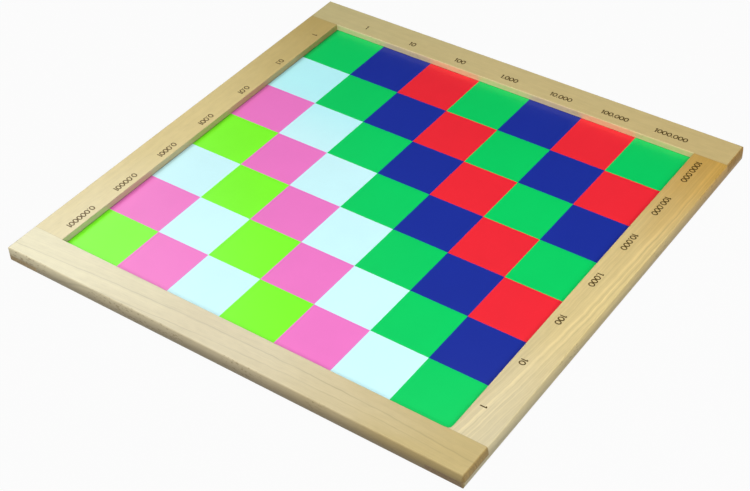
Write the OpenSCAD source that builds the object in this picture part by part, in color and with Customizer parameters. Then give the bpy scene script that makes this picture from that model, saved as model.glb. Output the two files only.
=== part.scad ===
// Decimal multiplication board: a shallow hardwood tray with a coloured place-value floor.
//
// Four rails with a crowned outer face are half-lapped at the corners and hold a thin
// printed panel in a groove. The origin is in the middle of the underside, +X runs along the
// front rail to the right, +Y to the back rail and +Z up.

/* [Squares] */
// Side of one coloured square, sized for a nine-bead bar
square_side = 70; // [50:1:90]
// Squares along each side of the board
squares = 7; // [3:1:9]
// Colour left between the outer squares and the tray wall
tray_margin = 2; // [0:0.5:6]

/* [Rails] */
// Width of each rail
rail_w = 42; // [30:0.5:60]
// Height of each rail
rail_h = 19; // [16:1:26]
// Height of the tray wall above the printed floor
wall_h = 7.5; // [6:0.5:9]
// Radius of the crowned outer face, from the top to the foot
crown_radius = 30; // [20:1:60]
// Radius along the upper outer edges
edge_round = 2; // [1:0.5:4]
// Radius along the lower outer edges
foot_round = 3; // [1:0.5:4]
// Radius of the upright outer corners
corner_round = 5; // [2:0.5:8]
// Radius along the top edge of the tray wall
arris_round = 0.8; // [0.4:0.1:1.5]
// Radius of the wood left in the front right corner of the tray
corner_fillet = 5; // [3:0.5:8]

/* [Panel] */
// Thickness of the bare panel
panel_t = 4; // [3:0.5:5]
// Thickness of the printed layer on the panel
print_t = 0.3; // [0.2:0.1:0.5]
// Depth of the groove that holds the panel
groove_depth = 7; // [4:0.5:12]
// Gap between the edge of the panel and the bottom of the groove
panel_play = 0.5; // [0.2:0.1:1]
// Corner cut off each square, so that squares of one colour stay apart
corner_clip = 0.2; // [0.1:0.1:0.5]

/* [Hidden] */
// Fineness of round edges
$fn = 48;
// How far a cut runs past the face that it opens
past = 1;
// How far the upright corners stand out, so that they cross the crowned faces cleanly
corner_proud = 0.1;
// How far an edge's radius stands out past the crown, so that the two cross cleanly
edge_proud = 0.01;

// Inside width of the tray
tray_w = squares * square_side + 2 * tray_margin;
// Outside width of the frame
frame_w = tray_w + 2 * rail_w;
// Height of the plane where the corner laps meet
lap_h = rail_h / 2;
// Height of the tray's floor, the top of the print
floor_z = rail_h - wall_h;
// Width of the panel from groove to groove
panel_w = tray_w + 2 * (groove_depth - panel_play);
// Height of the underside of the panel
panel_z = floor_z - print_t - panel_t;

green = "#08c85a";
dark_blue = "#1e3296";
red = "#ee2c38";
light_blue = "#c8f6ff";
pink = "#f07ccb";
lime = "#86ff3c";

// What a radius takes off a corner at the origin that fills the quarter below and left of it
module corner_waste(radius) {
    difference() {
        translate([-radius, -radius])
            square(2 * radius);
        translate([-radius, -radius])
            circle(r = radius);
    }
}

// How far inside the outermost line the centre of an outer edge's radius lies
function edge_inset(radius) =
    crown_radius - sqrt(pow(crown_radius - radius + edge_proud, 2)
                        - pow(rail_h / 2 - radius, 2));

// The point past the outer face on the line from the centre of the crown through another point
function past_face(hub, point) =
    hub + (point - hub) * (crown_radius + 2 * past) / (point[0] - hub[0]);

// What moulding takes off beyond one outer edge, from its centre up or down to a level
module edge_waste(hub, centre, radius, level) {
    difference() {
        polygon([centre, [centre[0], level], [2 * past, level], past_face(hub, centre)]);
        translate(centre)
            circle(r = radius);
    }
}

// What moulding takes off the outer side: the outermost line of the face is at X 0, Y is up
module moulding_waste() {
    hub = [-crown_radius, rail_h / 2];
    top = [-edge_inset(edge_round), rail_h - edge_round];
    foot = [-edge_inset(foot_round), foot_round];
    difference() {
        translate([-rail_h / 2, -past])
            square([rail_h / 2 + 2 * past, rail_h + 2 * past]);
        translate(hub)
            circle(r = crown_radius);
    }
    edge_waste(hub, top, edge_round, rail_h + past);
    edge_waste(hub, foot, foot_round, -past);
}

// Section of a rail: X from the tray wall outwards, Y up
module rail_section() {
    difference() {
        square([rail_w + past, rail_h]);
        translate([rail_w, 0])
            moulding_waste();
    }
}

// Runs a section along the back wall of the tray for a length, with its middle at a given X
module along_back_wall(length, middle = 0) {
    translate([middle - length / 2, tray_w / 2, 0])
        rotate([90, 0, 90])
            linear_extrude(length)
                children();
}

// Turns what is drawn for the back of the tray to another side
module at_side(angle) {
    rotate([0, 0, angle])
        children();
}

// What moulding takes off both ends of the bar at the back, with its upright corners
module end_waste() {
    corner = frame_w / 2 + corner_proud;
    for (end = [0, 1])
        mirror([end, 0, 0]) {
            translate([frame_w / 2, frame_w / 2 + past, 0])
                rotate([90, 0, 0])
                    linear_extrude(rail_w + 2 * past)
                        moulding_waste();
            translate([corner, corner, -past])
                linear_extrude(rail_h + 2 * past)
                    corner_waste(corner_round);
        }
}

// The half of its height that a bar gives up at each end, from a given level upwards
module lap_waste(low) {
    for (end = [0, 1])
        mirror([end, 0, 0])
            translate([tray_w / 2, tray_w / 2 - past, low])
                cube([rail_w + past, rail_w + 2 * past, lap_h + past]);
}

// Room for the panel and its print inside the rails
module groove_space() {
    space = tray_w + 2 * groove_depth;
    translate([-space / 2, -space / 2, panel_z])
        cube([space, space, panel_t + print_t]);
}

// What softens the top edge of the back wall, for a length with its middle at a given X
module wall_arris(length, middle = 0) {
    along_back_wall(length, middle)
        translate([0, rail_h])
            mirror([1, 0])
                corner_waste(arris_round);
}

// Moulded bar at the back, the full width of the frame, before its laps are cut
module moulded_bar() {
    difference() {
        along_back_wall(frame_w + 2 * past)
            rail_section();
        end_waste();
    }
}

// Bar at the back whose laps lie on top
module upper_bar() {
    difference() {
        moulded_bar();
        lap_waste(-past);
        groove_space();
    }
}

// Bar at the back whose laps lie underneath
module lower_bar() {
    difference() {
        moulded_bar();
        lap_waste(lap_h);
        groove_space();
    }
}

// Wood left in a corner of the tray, drawn for the back left corner, where the bar at the
// back carries it
module tray_corner() {
    centre = [-tray_w / 2 + corner_fillet, tray_w / 2 - corner_fillet];
    translate([0, 0, floor_z])
        difference() {
            translate([-tray_w / 2, tray_w / 2 - corner_fillet])
                cube([corner_fillet, corner_fillet, wall_h]);
            translate([centre[0], centre[1], -past])
                cylinder(r = corner_fillet, h = wall_h + 2 * past);
            translate([centre[0], centre[1], wall_h])
                rotate_extrude()
                    translate([corner_fillet, 0])
                        mirror([1, 0])
                            corner_waste(arris_round);
        }
}

module back_rail() {
    color("burlywood")
        difference() {
            upper_bar();
            wall_arris(tray_w);
        }
}

module front_rail() {
    // Seen from the front rail, the tray's front right corner is its back left one
    plain = tray_w - corner_fillet;
    color("wheat")
        at_side(180)
            difference() {
                upper_bar();
                wall_arris(plain, corner_fillet / 2);
            }
}

module left_rail() {
    color("tan")
        at_side(90)
            difference() {
                lower_bar();
                wall_arris(tray_w);
            }
}

module right_rail() {
    plain = tray_w - corner_fillet;
    color("goldenrod")
        at_side(-90) {
            difference() {
                lower_bar();
                wall_arris(plain, -corner_fillet / 2);
            }
            mirror([1, 0, 0])
                tray_corner();
        }
}

module panel() {
    color("peru")
        translate([-panel_w / 2, -panel_w / 2, panel_z])
            cube([panel_w, panel_w, panel_t]);
}

// Where the line in front of square number i lies; the outer squares run on to the edge of
// the panel, inside the groove
function line_at(i) =
    i == 0 ? -panel_w / 2 :
    i == squares ? panel_w / 2 :
    (i - squares / 2) * square_side;

// One printed square, column counted from the left and row from the back
module field(column, row) {
    x0 = line_at(column);
    x1 = line_at(column + 1);
    y0 = -line_at(row + 1);
    y1 = -line_at(row);
    c = corner_clip;
    translate([0, 0, floor_z - print_t])
        linear_extrude(print_t)
            polygon([[x0 + c, y0], [x1 - c, y0], [x1, y0 + c], [x1, y1 - c],
                     [x1 - c, y1], [x0 + c, y1], [x0, y1 - c], [x0, y0 + c]]);
}

// Every square on the diagonals that share one colour: side is 1 for the whole-number
// half, with the main diagonal, and -1 for the decimal half
module fields(side, place) {
    for (column = [0:squares - 1])
        for (row = [0:squares - 1]) {
            steps = column - row;
            in_half = side > 0 ? steps >= 0 : steps < 0;
            if (in_half && abs(steps) % 3 == place)
                field(column, row);
        }
}

module green_fields() {
    color(green)
        fields(1, 0);
}

module dark_blue_fields() {
    color(dark_blue)
        fields(1, 1);
}

module red_fields() {
    color(red)
        fields(1, 2);
}

module light_blue_fields() {
    color(light_blue)
        fields(-1, 1);
}

module pink_fields() {
    color(pink)
        fields(-1, 2);
}

module lime_fields() {
    color(lime)
        fields(-1, 0);
}

front_rail();
back_rail();
left_rail();
right_rail();
panel();
green_fields();
dark_blue_fields();
red_fields();
light_blue_fields();
pink_fields();
lime_fields();
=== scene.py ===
# Looks of the decimal multiplication board: its four rails of wood, the printed squares on
# its panel, the numbers on the rails, and the studio that it is photographed in.
from math import pi, radians

import bmesh
import bpy
from mathutils import Matrix, Vector


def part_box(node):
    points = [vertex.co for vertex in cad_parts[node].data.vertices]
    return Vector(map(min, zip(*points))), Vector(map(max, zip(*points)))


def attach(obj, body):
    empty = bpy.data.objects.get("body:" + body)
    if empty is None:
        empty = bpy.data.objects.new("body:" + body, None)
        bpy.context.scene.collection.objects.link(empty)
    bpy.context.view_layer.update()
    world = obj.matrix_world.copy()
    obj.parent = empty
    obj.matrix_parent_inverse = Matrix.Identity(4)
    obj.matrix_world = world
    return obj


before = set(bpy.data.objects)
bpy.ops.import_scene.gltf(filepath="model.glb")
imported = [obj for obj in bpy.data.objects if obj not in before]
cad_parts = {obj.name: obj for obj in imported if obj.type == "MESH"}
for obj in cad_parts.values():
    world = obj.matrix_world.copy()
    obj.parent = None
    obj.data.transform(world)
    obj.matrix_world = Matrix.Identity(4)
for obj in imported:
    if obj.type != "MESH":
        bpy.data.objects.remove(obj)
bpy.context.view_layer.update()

MM = 0.001

# Sizes that the finishes and the numbers are set out from
square = 70 * MM
rail_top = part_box("front_rail")[1].z
frame_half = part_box("front_rail")[1].x
rail_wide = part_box("back_rail")[1].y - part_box("back_rail")[0].y
tray_half = frame_half - rail_wide
lap_height = rail_top / 2


# Building finishes

def finish(name):
    """A new material with an empty Principled shader, as its material, nodes and shader."""
    material = bpy.data.materials.new(name)
    material.use_nodes = True
    tree = material.node_tree
    return material, tree, tree.nodes["Principled BSDF"]


def put(tree, kind, settings=None, **inputs):
    """Adds a node. Settings are its menus; each input takes a value or a link."""
    node = tree.nodes.new("ShaderNode" + kind)
    for key, value in (settings or {}).items():
        setattr(node, key, value)
    for key, value in inputs.items():
        plug(tree, node.inputs[key.replace("_", " ")], value)
    return node


def plug(tree, socket, value):
    """Links a socket to what feeds it, or sets its value."""
    if isinstance(value, bpy.types.NodeSocket):
        tree.links.new(value, socket)
    else:
        socket.default_value = value


def sum_up(tree, operation, *values):
    """One step of arithmetic on numbers or links."""
    node = tree.nodes.new("ShaderNodeMath")
    node.operation = operation
    for socket, value in zip(node.inputs, values):
        plug(tree, socket, value)
    return node.outputs[0]


def product(tree, first, *others):
    """Numbers or links multiplied together."""
    for other in others:
        first = sum_up(tree, "MULTIPLY", first, other)
    return first


def size_of(tree, value):
    """A number without its sign."""
    return sum_up(tree, "ABSOLUTE", value)


def ranged(tree, value, settings, start, end, low, high):
    """A value brought from the range of start to end to the range of low to high."""
    node = put(tree, "MapRange", settings, Value=value)
    for key, number in (("From Min", start), ("From Max", end), ("To Min", low), ("To Max", high)):
        node.inputs[key].default_value = number
    return node.outputs["Result"]


def ease(tree, value, start, end, low=0.0, high=1.0):
    """Smooth change from low to high as a value goes from start to end."""
    return ranged(tree, value, {"interpolation_type": "SMOOTHSTEP"}, start, end, low, high)


def spread(tree, value, low, high):
    """Noise brought from its usual range of 0.3 to 0.7 to another range."""
    return ranged(tree, value, None, 0.3, 0.7, low, high)


def tint(tree, mode, amount, under, over):
    """Lays one colour over another."""
    node = tree.nodes.new("ShaderNodeMix")
    node.data_type = "RGBA"
    node.blend_type = mode
    plug(tree, node.inputs["Factor"], amount)
    plug(tree, node.inputs[6], under)
    plug(tree, node.inputs[7], over)
    return node.outputs[2]


def grey(tree, value):
    """A number as a grey, to multiply a colour by."""
    return put(tree, "CombineColor", Red=value, Green=value, Blue=value).outputs["Color"]


def toned(tree, colour, tone):
    """A colour multiplied by a tone."""
    return tint(tree, "MULTIPLY", 1.0, colour, (*tone, 1))


def shaded(tree, colour, shade):
    """A colour made lighter or darker by a number."""
    return tint(tree, "MULTIPLY", 1.0, colour, grey(tree, shade))


def parts(tree, vector):
    """The three parts of a vector."""
    return put(tree, "SeparateXYZ", Vector=vector).outputs[:]


def noise(tree, vector, scale, detail=2.0, seed=0.0):
    """Noise on a vector, with a seed that moves it elsewhere in the pattern."""
    moved = put(tree, "Mapping", Vector=vector, Scale=scale,
                Location=(seed, seed * 0.7, seed * 1.3))
    return put(tree, "TexNoise", Vector=moved.outputs[0], Scale=1.0, Detail=detail).outputs["Fac"]


def gloss(shader, level):
    """Sets how strongly a shader mirrors."""
    shader.inputs["Specular IOR Level"].default_value = level


def dent(tree, shader, strength, depth, height):
    """Gives a shader the relief of a height that changes over the surface."""
    bump = put(tree, "Bump", Strength=strength, Distance=depth, Height=height)
    plug(tree, shader.inputs["Normal"], bump.outputs[0])


varnish_gloss = 0.36


# Wood

painted_highlight_pale = (0.95, 0.93, 0.86, 1)
fleck_brown = (0.40, 0.30, 0.16, 1)
seam_brown = (0.42, 0.33, 0.24, 1)


def sway(tree, layer, field, height):
    """Moves the growth layers to and fro by noise, over a given height."""
    return sum_up(tree, "MULTIPLY_ADD", sum_up(tree, "SUBTRACT", field, 0.5), height, layer)


def growth_layers(tree, laid, rise, bow, crown, lean, seed):
    """A number that stays the same all along one growth layer of the wood."""
    along, across, up = parts(tree, laid)
    from_crown = sum_up(tree, "SUBTRACT", along, crown)
    layer = sum_up(tree, "MULTIPLY_ADD", along, rise, across)
    layer = sum_up(tree, "ADD", layer, product(tree, from_crown, from_crown, bow))
    layer = sum_up(tree, "MULTIPLY_ADD", sum_up(tree, "SUBTRACT", up, rail_top), lean, layer)
    layer = sway(tree, layer, noise(tree, laid, (5, 0, 0), 1.0, seed), 4 * MM)
    layer = sway(tree, layer, noise(tree, laid, (26, 3, 3), 2.0, seed + 5), 2.4 * MM)
    return sway(tree, layer, noise(tree, laid, (95, 9, 9), 1.0, seed + 13), 1.4 * MM)


def with_lines(tree, shade, lines, along, layer, figure, seed):
    """Takes single growth lines off a shade, soft at their edges and uneven in strength."""
    for place, slope, width, strength in lines:
        middle = sum_up(tree, "MULTIPLY_ADD", along, slope, place)
        off = size_of(tree, sum_up(tree, "SUBTRACT", layer, middle))
        drawn = ease(tree, off, width, 0.0, 0.0, strength)
        uneven = noise(tree, figure, (17, 0, 0), 2.0, seed + place / MM)
        drawn = product(tree, drawn, spread(tree, uneven, 0.35, 1.25))
        shade = sum_up(tree, "SUBTRACT", shade, drawn)
    return shade


def edge_marks(tree, laid, up_facing, seed):
    """Short dark marks, in a few groups, where the rounded edges cut through the layers."""
    on_edge = ease(tree, up_facing, 0.97, 0.80)
    grouped = ease(tree, noise(tree, laid, (24, 5, 5), 1.0, seed + 10), 0.48, 0.60)
    mark = ease(tree, noise(tree, laid, (230, 520, 520), 1.0, seed + 7), 0.58, 0.68)
    return product(tree, mark, on_edge, grouped)


def painted_side_shading(tree, colour, across, up, side_facing, painted_wall_tone, painted_face_top_tone, painted_face_foot_tone):
    """Painted light and shade: one tone on the wall of the tray, and on the outer face a tone
    that goes from under its top edge down to its foot.
    """
    upright = ease(tree, size_of(tree, side_facing), 0.30, 0.75)
    from_middle = size_of(tree, across)
    at_wall = ease(tree, from_middle, tray_half + 2.5 * MM, tray_half + 1.5 * MM)
    at_wall = product(tree, upright, at_wall)
    # Painted light and shade on the wall of the tray
    colour = tint(tree, "MIX", at_wall, colour, toned(tree, colour, painted_wall_tone))
    outside = ease(tree, from_middle, frame_half - 6 * MM, frame_half - 1 * MM)
    outside = product(tree, upright, outside)
    # Painted light and shade down the outer face, darker at its foot
    down_face = ease(tree, up, rail_top - 1 * MM, 4 * MM)
    painted_face_tone = tint(tree, "MIX", down_face, (*painted_face_top_tone, 1), (*painted_face_foot_tone, 1))
    return tint(tree, "MIX", outside, colour, tint(tree, "MULTIPLY", 1.0, colour, painted_face_tone))


def end_grain(tree, colour, end_tone, laid, seed):
    """Colour of the end grain, which soaks up more of the finish."""
    stipple = spread(tree, noise(tree, laid, (300, 900, 900), 2.0, seed + 8), 0.86, 1.10)
    rays = spread(tree, noise(tree, laid, (1, 500, 90), 2.0, seed + 9), 0.90, 1.08)
    return shaded(tree, toned(tree, colour, end_tone), product(tree, stipple, rays))


def lap_seams(tree, along, up, on_top):
    """Where the laps meet: their shoulders, and the line of the lap on the sides."""
    lengthwise = size_of(tree, along)
    past_tray = ease(tree, lengthwise, tray_half - 0.45 * MM, tray_half - 0.05 * MM)
    from_lap = sum_up(tree, "SUBTRACT", up, lap_height)
    at_lap = ease(tree, size_of(tree, from_lap), 0.40 * MM, 0.05 * MM)
    beyond_lap = ease(tree, from_lap, -0.2 * MM, 0.2 * MM, on_top, 1 - on_top)
    shoulder = size_of(tree, sum_up(tree, "SUBTRACT", lengthwise, tray_half))
    shoulder = product(tree, ease(tree, shoulder, 0.45 * MM, 0.05 * MM), beyond_lap)
    return sum_up(tree, "MAXIMUM", product(tree, past_tray, at_lap), shoulder)


def wood(name, turn, on_top, start, middle, end, seed, rise=0.0, bow=0.0, crown=0.0, lean=0.4,
         bands=0.02, fine=0.015, lines=(), flecks=0.2, end_tone=(0.75, 0.62, 0.42),
         painted_wall_tone=(1, 1, 1), painted_face_top_tone=(1, 1, 1), painted_face_foot_tone=(0.8, 0.8, 0.8)):
    """Satin hardwood with its grain along a rail.

    turn brings the rail's length to X, on_top is 1 for a rail whose laps lie on top, and
    start, middle and end are the colours along its length. rise, bow and lean say how the
    growth layers run: sloping across the top, curving along it about crown, and slanting down
    into the wood. bands and fine are the strengths of the broad and the fine figure, lines are
    the single growth lines, and flecks is the strength of the small dark marks on the edges.
    end_tone multiplies the colour of the end grain. The other tones are painted light and
    shade: they multiply the colour of the wall of the tray and of the outer face, which goes
    from one painted tone under its top edge to a darker painted shade at its foot.
    """
    material, tree, shader = finish(name)
    place = put(tree, "TexCoord").outputs
    turned = (0, 0, turn)
    laid = put(tree, "Mapping", Vector=place["Object"], Rotation=turned).outputs[0]
    facing = put(tree, "Mapping", {"vector_type": "NORMAL"}, Vector=place["Normal"],
                 Rotation=turned).outputs[0]
    along, across, up = parts(tree, laid)
    end_facing, side_facing, up_facing = parts(tree, facing)
    layer = growth_layers(tree, laid, rise, bow, crown, lean, seed)
    figure = put(tree, "CombineXYZ", X=along, Y=layer).outputs[0]

    # Broad and fine bands, the fibres, their pores, and a little unevenness over it all
    broad = spread(tree, noise(tree, figure, (1.5, 150, 1), 2.0, seed + 1), 1 - bands, 1 + bands)
    narrow = spread(tree, noise(tree, figure, (4, 620, 1), 3.0, seed + 2), 1 - fine, 1 + fine)
    fibre = noise(tree, figure, (34, 1900, 1), 2.0, seed + 3)
    shade = product(tree, broad, narrow, spread(tree, fibre, 0.975, 1.025))
    pores = ease(tree, noise(tree, figure, (85, 2600, 1), 1.0, seed + 4), 0.64, 0.76)
    shade = sum_up(tree, "MULTIPLY_ADD", pores, -0.10, shade)
    mottle = noise(tree, laid, (70, 170, 170), 2.0, seed + 12)
    shade = product(tree, shade, spread(tree, mottle, 0.975, 1.025))
    shade = with_lines(tree, shade, lines, along, layer, figure, seed)

    # Colour drifts from one end of the rail to the other
    cloud = noise(tree, laid, (9, 30, 30), 2.0, seed + 6)
    reach = sum_up(tree, "ADD", along, spread(tree, cloud, -25 * MM, 25 * MM))
    colour = tint(tree, "MIX", ease(tree, reach, -frame_half, 0.0), (*start, 1), (*middle, 1))
    colour = tint(tree, "MIX", ease(tree, reach, 0.0, frame_half), colour, (*end, 1))
    colour = shaded(tree, colour, shade)
    marks = product(tree, edge_marks(tree, laid, up_facing, seed), flecks)
    colour = tint(tree, "MULTIPLY", marks, colour, fleck_brown)
    colour = painted_side_shading(tree, colour, across, up, side_facing, painted_wall_tone, painted_face_top_tone, painted_face_foot_tone)

    # Painted highlight: the edges are a little paler where they break from the top
    painted_arris_highlight = product(tree, ease(tree, up_facing, 0.80, 0.93), ease(tree, up_facing, 0.995, 0.96))
    colour = tint(tree, "SOFT_LIGHT", product(tree, painted_arris_highlight, 0.10), colour, painted_highlight_pale)

    ends = ease(tree, size_of(tree, end_facing), 0.30, 0.85)
    colour = tint(tree, "MIX", ends, colour, end_grain(tree, colour, end_tone, laid, seed))
    seam = lap_seams(tree, along, up, on_top)
    colour = tint(tree, "MULTIPLY", product(tree, seam, 0.55), colour, seam_brown)
    plug(tree, shader.inputs["Base Color"], colour)

    sheen = sum_up(tree, "MULTIPLY_ADD", fibre, 0.16, 0.34)
    plug(tree, shader.inputs["Roughness"], sum_up(tree, "MULTIPLY_ADD", ends, 0.15, sheen))
    gloss(shader, varnish_gloss)
    relief = sum_up(tree, "MULTIPLY_ADD", pores, -1.4, fibre)
    dent(tree, shader, 0.35, 0.12 * MM, sum_up(tree, "MULTIPLY_ADD", seam, -2.0, relief))
    return material


# Print

def ink(name, colour, seed, painted_back_shade=0.0):
    """Satin ink printed on the panel and varnished, a little uneven in each square.

    The last argument says how far the colour loses red towards the back of the tray, as painted
    shade.
    """
    material, tree, shader = finish(name)
    place = put(tree, "TexCoord").outputs["Object"]
    x, y = parts(tree, place)[:2]

    # Each square has its own strength of ink, with clouds and a fine grain in it
    cell = put(tree, "Mapping", Vector=place, Scale=(1 / square, 1 / square, 0),
               Location=(0.5, 0.5, 0))
    whole = put(tree, "VectorMath", {"operation": "FLOOR"})
    plug(tree, whole.inputs[0], cell.outputs[0])
    each = put(tree, "TexWhiteNoise", Vector=whole.outputs[0]).outputs["Value"]
    each = sum_up(tree, "MULTIPLY_ADD", each, 0.03, 0.985)
    cloud = spread(tree, noise(tree, place, (22, 22, 22), 3.0, seed), 0.985, 1.015)
    grainy = spread(tree, noise(tree, place, (1400, 1400, 1400), 2.0, seed + 1), 0.985, 1.015)
    shade = product(tree, each, cloud, grainy)

    # Painted shade along the foot of the walls, and the painted shadow of the left wall
    from_middle = sum_up(tree, "MAXIMUM", size_of(tree, x), size_of(tree, y))
    painted_wall_foot_shade = ease(tree, from_middle, tray_half - 1.3 * MM, tray_half - 0.2 * MM, 0.0, 0.45)
    shade = sum_up(tree, "SUBTRACT", shade, painted_wall_foot_shade)
    dim = ease(tree, x, 6 * MM - tray_half, -tray_half, 0.0, 0.32)
    shade = sum_up(tree, "SUBTRACT", shade, dim)

    # Painted shade: the colour loses red towards the back of the tray
    painted_back_mask = ease(tree, y, 0.3 * square, 2.0 * square, 0.0, painted_back_shade)
    painted_back_colour = tint(tree, "MULTIPLY", painted_back_mask, (*colour, 1), (0.0, 1.0, 1.0, 1))
    plug(tree, shader.inputs["Base Color"], shaded(tree, painted_back_colour, shade))
    wiped = noise(tree, place, (14, 9, 9), 2.0, seed + 2)
    plug(tree, shader.inputs["Roughness"], spread(tree, wiped, 0.30, 0.33))
    gloss(shader, varnish_gloss)
    dent(tree, shader, 0.05, 0.05 * MM, noise(tree, place, (420, 420, 420), 1.0, seed + 3))
    return material


def hardboard():
    """The bare brown board under the print, with the marks of a wire screen."""
    material, tree, shader = finish("panel hardboard")
    place = put(tree, "TexCoord").outputs["Object"]
    pulp = noise(tree, place, (130, 130, 130), 4.0, 3.0)
    strand = noise(tree, place, (700, 240, 240), 3.0, 4.0)
    wires = [put(tree, "TexWave", {"bands_direction": axis}, Vector=place, Scale=230.0)
             for axis in "XY"]
    screen = product(tree, *(wire.outputs["Fac"] for wire in wires))
    shade = product(tree, spread(tree, pulp, 0.82, 1.15), spread(tree, strand, 0.88, 1.10),
                    sum_up(tree, "MULTIPLY_ADD", screen, 0.16, 0.90))
    plug(tree, shader.inputs["Base Color"], shaded(tree, (0.25, 0.15, 0.075, 1), shade))
    plug(tree, shader.inputs["Roughness"], spread(tree, strand, 0.72, 0.88))
    gloss(shader, 0.25)
    dent(tree, shader, 0.6, 0.25 * MM, sum_up(tree, "ADD", screen, pulp))
    return material


def number_ink(name, full, worn_thin):
    """Brown ink printed on the wood, a little thin where the fibres take it less."""
    material, tree, shader = finish(name)
    place = put(tree, "TexCoord").outputs["Object"]
    thin = ease(tree, noise(tree, place, (520, 520, 520), 3.0, 2.0), 0.55, 0.75)
    plug(tree, shader.inputs["Base Color"],
         tint(tree, "MIX", product(tree, thin, 0.35), (*full, 1), (*worn_thin, 1)))
    plug(tree, shader.inputs["Roughness"], sum_up(tree, "MULTIPLY_ADD", thin, 0.2, 0.42))
    gloss(shader, 0.22)
    return material


# What each piece is finished in

along_x, along_y = 0.0, -pi / 2

# Single growth lines: the place of each across its rail, its slope, its width and its
# strength, below zero for a pale one
front_lines = (
    (-262.5 * MM, 0.0, 1.1 * MM, 0.17),
    (-277.1 * MM, 0.027, 1.0 * MM, 0.15),
    (-265.5 * MM, 0.004, 2.5 * MM, -0.04),
    (-256.0 * MM, 0.010, 2.6 * MM, 0.03),
    (-274.5 * MM, 0.020, 2.0 * MM, -0.03),
)
right_lines = (
    (-274.5 * MM, 0.0, 2.6 * MM, -0.20),
    (-277.2 * MM, 0.0, 1.2 * MM, 0.11),
    (-280.2 * MM, 0.01, 1.6 * MM, -0.12),
    (-283.5 * MM, 0.0, 1.5 * MM, 0.07),
    (-286.2 * MM, 0.0, 1.6 * MM, -0.05),
    (-270.0 * MM, 0.0, 1.5 * MM, 0.06),
)

# The wall and face tones given to the rails below are painted light and shade.
finishes = {
    "front_rail": wood(
        "front rail wood", along_x, on_top=1, seed=11.0,
        start=(0.84, 0.79, 0.567), middle=(0.682, 0.612, 0.427), end=(0.524, 0.413, 0.183),
        bow=0.129, crown=0.056, lean=0.35, fine=0.02, lines=front_lines, flecks=0.50,
        end_tone=(0.90, 0.78, 0.62), painted_face_top_tone=(0.97, 0.93, 0.87), painted_face_foot_tone=(0.49, 0.43, 0.33)),
    "back_rail": wood(
        "back rail wood", along_x, on_top=1, seed=23.0,
        start=(0.567, 0.488, 0.242), middle=(0.597, 0.486, 0.232), end=(0.584, 0.455, 0.204),
        rise=0.02, lean=0.5, flecks=0.15,
        end_tone=(0.86, 0.64, 0.36), painted_wall_tone=(1.45, 1.43, 1.68)),
    "left_rail": wood(
        "left rail wood", along_y, on_top=0, seed=37.0,
        start=(0.815, 0.728, 0.463), middle=(0.713, 0.583, 0.273), end=(0.494, 0.366, 0.126),
        rise=0.01, lean=-0.4, flecks=0.12,
        end_tone=(0.62, 0.52, 0.42), painted_wall_tone=(0.71, 0.71, 0.76)),
    "right_rail": wood(
        "right rail wood", along_y, on_top=0, seed=51.0,
        start=(0.643, 0.568, 0.368), middle=(0.659, 0.527, 0.248), end=(0.536, 0.315, 0.063),
        rise=0.055, bow=-0.11, crown=-0.05, lean=0.6, bands=0.05, fine=0.06, lines=right_lines,
        flecks=0.40, end_tone=(0.48, 0.37, 0.29), painted_face_top_tone=(1.33, 1.33, 1.27),
        painted_face_foot_tone=(0.98, 0.95, 0.78)),
    "panel": hardboard(),
    "green_fields": ink("green print", (0.0, 0.61, 0.122), seed=1.0),
    "dark_blue_fields": ink("dark blue print", (0.009, 0.026, 0.32), seed=2.0),
    "red_fields": ink("red print", (0.85, 0.020, 0.036), seed=3.0),
    "light_blue_fields": ink("light blue print", (0.60, 0.94, 1.0), seed=4.0, painted_back_shade=0.19),
    "pink_fields": ink("pink print", (0.84, 0.186, 0.575), seed=5.0),
    "lime_fields": ink("lime print", (0.205, 0.96, 0.020), seed=6.0),
}
for node_name, material in finishes.items():
    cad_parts[node_name].data.materials[0] = material


# Numbers on the rails

numeral_high = 7.5 * MM
zero_wide = 5.9 * MM
stroke = 1.34 * MM
ink_thick = 0.05 * MM
# The flag of the one: how tall it is, how far it reaches to the left, and how far it falls
flag_tall = 1.1 * stroke
flag_reach = 0.95 * MM
flag_fall = 0.85 * MM
dot_radius = 0.55 * stroke
# How far the pen moves on after each sign
advance = {"0": 5.95 * MM, "1": 2.8 * MM, ".": 2.0 * MM}


def start_piece():
    """Leaves nothing selected, so that the operators act only on what is added next."""
    bpy.ops.object.select_all(action="DESELECT")


def raise_ink(name):
    """Gives the flat shape being edited the thickness of the ink, and names the piece."""
    bpy.ops.mesh.select_all(action="SELECT")
    bpy.ops.mesh.extrude_region_move(TRANSFORM_OT_translate={"value": (0, 0, ink_thick)})
    bpy.ops.mesh.select_all(action="SELECT")
    bpy.ops.mesh.normals_make_consistent(inside=False)
    bpy.ops.object.mode_set(mode="OBJECT")
    bpy.ops.object.transform_apply()
    piece = bpy.context.object
    piece.name = name
    return piece


def zero():
    """An oval ring, standing on the line, in the middle of its width."""
    start_piece()
    bpy.ops.mesh.primitive_circle_add(vertices=40, radius=0.5, fill_type="NGON",
                                      location=(0, numeral_high / 2, 0))
    bpy.ops.object.mode_set(mode="EDIT")
    bpy.ops.mesh.select_all(action="SELECT")
    bpy.ops.transform.resize(value=(zero_wide, numeral_high, 1))
    bpy.ops.mesh.inset(thickness=stroke)
    bpy.ops.mesh.delete(type="FACE")
    return raise_ink("zero")


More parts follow.
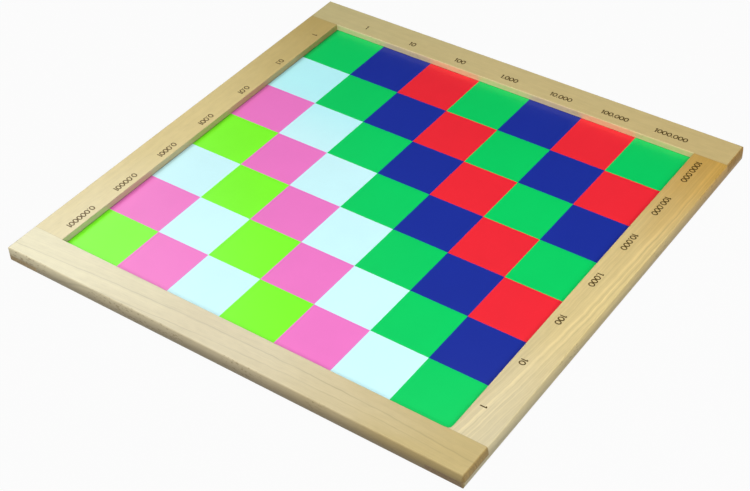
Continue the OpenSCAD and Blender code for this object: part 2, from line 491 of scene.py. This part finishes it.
def one():
    """A stem with a short flag that falls to the left of its top."""
    start_piece()
    bpy.ops.mesh.primitive_plane_add(size=1, location=(0, numeral_high / 2, 0))
    bpy.ops.object.mode_set(mode="EDIT")
    bpy.ops.mesh.select_all(action="SELECT")
    bpy.ops.transform.resize(value=(stroke, numeral_high, 1))
    flag_low = numeral_high - flag_tall
    bpy.ops.mesh.bisect(plane_co=(0, flag_low, 0), plane_no=(0, 1, 0))

    # The flag is drawn out of the part of the left edge that lies above the cut
    bpy.ops.mesh.select_all(action="DESELECT")
    stem = bpy.context.object
    shape = bmesh.from_edit_mesh(stem.data)
    for edge in shape.edges:
        middle = stem.matrix_world @ ((edge.verts[0].co + edge.verts[1].co) / 2)
        if middle.x < -0.4 * stroke and middle.y > flag_low + 0.1 * stroke:
            edge.select_set(True)
    shape.select_flush_mode()
    bmesh.update_edit_mesh(stem.data)
    bpy.ops.mesh.extrude_region_move(
        TRANSFORM_OT_translate={"value": (-flag_reach, -flag_fall, 0)})
    return raise_ink("one")


def dot():
    """The point between places."""
    start_piece()
    bpy.ops.mesh.primitive_circle_add(vertices=16, radius=dot_radius, fill_type="NGON",
                                      location=(0, dot_radius, 0))
    bpy.ops.object.mode_set(mode="EDIT")
    return raise_ink("dot")


signs = {"0": zero(), "1": one(), ".": dot()}


def places_along(first, pitch, slips):
    """Where the numbers of a row stand: evenly along a line, each with its own small slip."""
    return [Vector(first) + step * Vector(pitch) + Vector(slip)
            for step, slip in enumerate(slips)]


def numbers(name, ink_used, labels, places, turn):
    """Prints a row of numbers on a rail, each about its place."""
    pieces = []
    for label, middle in zip(labels, places):
        pen = -sum(advance[sign] for sign in label) / 2
        for sign in label:
            pen += advance[sign] / 2
            place = Matrix.Translation((*middle, rail_top)) @ Matrix.Rotation(turn, 4, "Z")
            copy = signs[sign].copy()
            copy.data = signs[sign].data.copy()
            copy.data.transform(place @ Matrix.Translation((pen, -numeral_high / 2, 0)))
            bpy.context.collection.objects.link(copy)
            pieces.append(copy)
            pen += advance[sign] / 2
    start_piece()
    for piece in pieces:
        piece.select_set(True)
    bpy.context.view_layer.objects.active = pieces[0]
    bpy.ops.object.join()
    row = bpy.context.object
    row.name = name
    row.data.materials.clear()
    row.data.materials.append(ink_used)
    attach(row, "root")


dark_brown = number_ink("dark number ink", (0.072, 0.040, 0.005), (0.15, 0.095, 0.025))
paler_brown = number_ink("paler number ink", (0.130, 0.085, 0.028), (0.25, 0.18, 0.08))
wholes = ("1", "10", "100", "1.000", "10.000", "100.000", "1000.000")
decimals = ("1", "0.1", "0.01", "0.001", "0.0001", "0.00001", "0.000001")
downward = -pi / 2

# The back row bows a little to the right and away from the tray towards its ends
bows = [0.20 * MM * (step - 2.5) ** 2 for step in range(len(wholes))]
back_places = places_along((-211.2 * MM, 260.4 * MM), (square, 0.182 * MM),
                           [(bow, 0.6 * bow) for bow in bows])
# Two numbers of the left row stand a little far back
left_places = places_along((-256.97 * MM, 213.22 * MM), (0.07 * MM, -70.182 * MM),
                           [(0, slip * MM) for slip in (0, 0, 0, 0, 1.3, 1.2, 0)])
right_places = places_along((259.91 * MM, 214.90 * MM), (-0.35 * MM, -70.231 * MM),
                            [(0, 0)] * len(wholes))

numbers("back_numbers", dark_brown, wholes, back_places, 0.0)
numbers("left_numbers", paler_brown, decimals, left_places, downward)
numbers("right_numbers", dark_brown, reversed(wholes), right_places, downward)
for sign in signs.values():
    bpy.data.objects.remove(sign)


# Studio

warm_white = (1.0, 0.99, 0.97)
pure_white = (1.0, 1.0, 1.0)


def studio_floor():
    """A wide white floor just under the board, which keeps the board's soft shadow."""
    start_piece()
    bpy.ops.mesh.primitive_plane_add(size=40, location=(0, 0, -0.2 * MM))
    floor = bpy.context.object
    floor.name = "studio_floor"
    material, tree, shader = finish("studio floor")
    shader.inputs["Base Color"].default_value = (0.20, 0.20, 0.20, 1)
    shader.inputs["Roughness"].default_value = 0.9
    gloss(shader, 0.0)

    # Seen or mirrored it is white, and as a source of light it stays grey
    rays = put(tree, "LightPath").outputs
    seen = sum_up(tree, "MAXIMUM", rays["Is Camera Ray"], rays["Is Glossy Ray"])
    seen = sum_up(tree, "MAXIMUM", seen, rays["Is Transmission Ray"])
    white = put(tree, "Emission", Color=(*pure_white, 1), Strength=1.0)
    both = put(tree, "MixShader", Fac=product(tree, seen, 0.96))
    tree.links.new(shader.outputs[0], both.inputs[1])
    tree.links.new(white.outputs[0], both.inputs[2])
    tree.links.new(both.outputs[0], tree.nodes["Material Output"].inputs["Surface"])
    floor.data.materials.append(material)


def lamp_at(name, location, target, size, power, colour=warm_white):
    """A square soft lamp turned towards a point."""
    towards = Vector(target) - Vector(location)
    bpy.ops.object.light_add(type="AREA", location=location,
                             rotation=towards.to_track_quat("-Z", "Y").to_euler())
    lamp = bpy.context.object
    lamp.name = name
    lamp.data.shape = "SQUARE"
    lamp.data.size = size
    lamp.data.energy = power
    lamp.data.color = colour


def studio_light():
    """Soft lamps over the board and round it, a soft box behind its left side, and a dim room."""
    middle = (0, 0, 0)
    lamp_at("overhead_lamp", (0.17, -0.03, 0.76), (0.15, -0.02, 0), size=0.35, power=1.58)
    lamp_at("left_lamp", (-0.85, -0.62, 1.05), (-0.05, -0.05, 0), size=0.70, power=3.15)
    lamp_at("front_lamp", (0.20, -2.10, 1.70), middle, size=0.80, power=26.0)
    lamp_at("right_lamp", (1.75, -0.30, 1.75), middle, size=0.80, power=26.5)
    lamp_at("side_soft_box", (-1.10, 0.38, 1.00), (-0.15, -0.20, 0), size=0.60, power=3.5,
            colour=pure_white)

    # The room is brightest straight overhead
    room = bpy.data.worlds.new("studio room")
    bpy.context.scene.world = room
    room.use_nodes = True
    tree = room.node_tree
    height = parts(tree, put(tree, "TexCoord").outputs["Generated"])[2]
    lit = sum_up(tree, "POWER", sum_up(tree, "MAXIMUM", height, 0.0), 12.0)
    lit = sum_up(tree, "MULTIPLY_ADD", lit, 0.60, 0.05)
    plug(tree, tree.nodes["Background"].inputs["Color"], grey(tree, lit))


def photo_camera():
    """The camera where the photograph was taken from, with its slight tilt."""
    bpy.ops.object.camera_add(location=(0.78424, -1.05330, 1.07990),
                              rotation=(radians(49.1930), radians(2.1881), radians(35.3620)))
    camera = bpy.context.object
    camera.name = "photo_camera"
    camera.data.sensor_width = 36.0
    camera.data.lens = 74.335
    bpy.context.scene.camera = camera


studio_floor()
studio_light()
photo_camera()
bpy.context.scene.view_settings.view_transform = "Standard"
